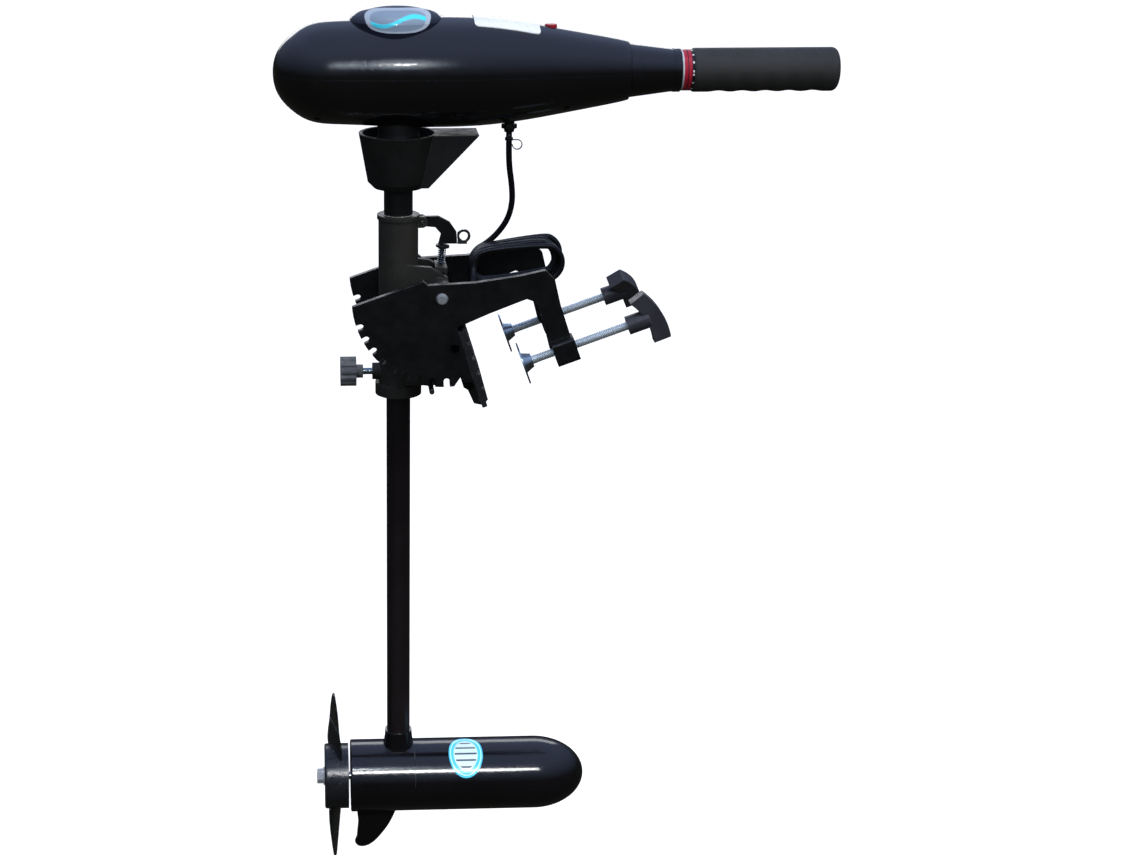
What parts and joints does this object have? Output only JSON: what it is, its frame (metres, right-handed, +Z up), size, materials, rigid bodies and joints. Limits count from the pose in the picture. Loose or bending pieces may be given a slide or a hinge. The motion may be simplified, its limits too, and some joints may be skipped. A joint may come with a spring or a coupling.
{
  "type": "trolling motor",
  "caption": "Transom-mount electric outboard: clamp bracket, tilting and steering shaft, control head with twist tiller, motor pod and propeller.",
  "frame": {"origin": "middle of the bracket's serrated face, which bears on the outside of the boat's transom", "axes": "+X into the boat, the way the tiller points; +Z up along the steering shaft, head at the top; +Y across the boat"},
  "size_m": [0.643, 0.188, 1.0845],
  "materials": {
    "black_gloss_abs": "gloss",
    "cap_blue_abs": "gloss",
    "label_film": "satin",
    "red_plastic": "satin",
    "black_nylon": "moulded",
    "grey_nylon": "moulded",
    "composite_tube": "semi-gloss",
    "grip_rubber": "soft",
    "serrated_rubber": "moulded",
    "cable_rubber": "satin",
    "zinc_steel": "zinc plated",
    "stainless_steel": "brushed",
    "pod_enamel": "gloss",
    "acetal": "moulded",
    "dial_red": "satin",
    "ferrite": "ground",
    "laminated_iron": "laminated",
    "brass": "plain",
    "nitrile": "plain",
    "grey_plastic": "moulded"
  },
  "bodies": {
    "bracket": {"side_plate_near": "black_nylon", "side_plate_far": "black_nylon", "cross_web": "black_nylon", "transom_pad": "serrated_rubber", "tie_bolts": "zinc_steel", "pivot_bolts": "zinc_steel", "clamp_nuts": "zinc_steel"},
    "near_foot": {"clamp_pad_near": "zinc_steel"},
    "near_screw": {"clamp_screw_near": "zinc_steel", "clamp_handle_near": "black_nylon"},
    "far_foot": {"clamp_pad_far": "zinc_steel"},
    "far_screw": {"clamp_screw_far": "zinc_steel", "clamp_handle_far": "black_nylon"},
    "carriage": {"swivel_housing": "black_nylon", "upper_liner": "acetal", "lower_liner": "acetal", "lever_pin": "stainless_steel", "latch_spring": "zinc_steel"},
    "lever": {"release_lever": "black_nylon", "pull_ring": "stainless_steel"},
    "latch": {"latch_rod": "black_nylon", "lock_pin": "stainless_steel"},
    "shoe": {"tension_shoe": "grey_nylon"},
    "tension": {"tension_screw": "zinc_steel", "tension_knob": "grey_nylon"},
    "rider": {"thrust_bush": "black_nylon", "cable_drop": "cable_rubber", "cable_tie": "black_nylon", "cable_coil": "cable_rubber", "battery_lugs": "brass"},
    "motor": {"shaft_tube": "composite_tube", "neck": "black_nylon", "neck_bolt": "zinc_steel", "head_lower": "black_gloss_abs", "head_upper": "black_gloss_abs", "top_cap": "cap_blue_abs", "gauge_panel": "label_film", "head_screws": "zinc_steel", "cable_gland": "black_nylon", "nose_collar": "black_gloss_abs", "speed_switch": "black_nylon", "rear_housing": "pod_enamel", "motor_can": "pod_enamel", "pod_seal": "nitrile", "magnets": "ferrite", "brush_plate": "black_nylon", "brushes": "brass", "rear_bearing": "stainless_steel", "front_bearing": "stainless_steel", "shaft_seal": "nitrile", "through_bolts": "zinc_steel"},
    "throttle": {"grip_core": "black_nylon", "grip_sleeve": "grip_rubber", "speed_dial": "dial_red"},
    "button": {"power_button": "red_plastic"},
    "rotor": {"armature": "laminated_iron", "motor_shaft": "stainless_steel", "propeller": "black_nylon", "drive_pin": "stainless_steel", "propeller_nut": "grey_plastic"}
  },
  "joints": [
    {"name": "clamp_near", "type": "slide", "parent": "bracket", "child": "near_foot", "axis": [0.9397, 0, 0.342], "range_m": [-0.04, 0.02]},
    {"name": "clamp_near_turn", "type": "hinge", "parent": "near_foot", "child": "near_screw", "pos_m": [0.06, -0.069, 0.004], "axis": [0.9397, 0, 0.342], "range_deg": [-7200, 3600]},
    {"name": "clamp_far", "type": "slide", "parent": "bracket", "child": "far_foot", "axis": [0.9397, 0, 0.342], "range_m": [-0.032, 0.024]},
    {"name": "clamp_far_turn", "type": "hinge", "parent": "far_foot", "child": "far_screw", "pos_m": [0.06, 0.069, 0.004], "axis": [0.9397, 0, 0.342], "range_deg": [-5760, 4320]},
    {"name": "tilt", "type": "hinge", "parent": "bracket", "child": "carriage", "pos_m": [-0.041, 0, 0.079], "axis": [0, 1, 0], "range_deg": [0, 65.1]},
    {"name": "latch_lever", "type": "hinge", "parent": "carriage", "child": "lever", "pos_m": [-0.0605, 0, 0.153], "axis": [0, 1, 0], "range_deg": [-29, 0]},
    {"name": "latch_slide", "type": "slide", "parent": "carriage", "child": "latch", "axis": [-0.1015, 0, -0.9948], "range_m": [-0.0125, 0], "deforming": ["latch_spring"]},
    {"name": "tension_slide", "type": "slide", "parent": "carriage", "child": "shoe", "axis": [-1, 0, 0], "range_m": [0, 0.002]},
    {"name": "tension_turn", "type": "hinge", "parent": "shoe", "child": "tension", "pos_m": [-0.1, 0, -0.027], "axis": [-1, 0, 0], "range_deg": [0, 576]},
    {"name": "depth", "type": "slide", "parent": "carriage", "child": "rider", "axis": [0, 0, 1], "range_m": [0, 0.4]},
    {"name": "steer", "type": "hinge", "parent": "rider", "child": "motor", "pos_m": [-0.088, 0, 0.195], "axis": [0, 0, 1], "range_deg": [-90, 90], "deforming": ["cable_drop", "cable_tie", "cable_coil", "battery_lugs"]},
    {"name": "throttle_turn", "type": "hinge", "parent": "motor", "child": "throttle", "pos_m": [0.25, 0, 0.327], "axis": [1, 0, 0], "range_deg": [-75, 125]},
    {"name": "power_press", "type": "slide", "parent": "motor", "child": "button", "axis": [0, 0, -1], "range_m": [0, 0.0015], "stiffness_N_per_m": 600},
    {"name": "propeller_spin", "type": "hinge", "parent": "motor", "child": "rotor", "pos_m": [-0.17, 0, -0.567], "axis": [1, 0, 0], "continuous": true}
  ],
  "couplings": [
    {"joint": "clamp_near_turn", "follows": "clamp_near", "rad_per_m": 3141.6},
    {"joint": "clamp_far_turn", "follows": "clamp_far", "rad_per_m": 3141.6},
    {"joint": "latch_slide", "follows": "latch_lever", "m_per_rad": 0.0238},
    {"joint": "tension_turn", "follows": "tension_slide", "rad_per_m": 5026.5}
  ]
}
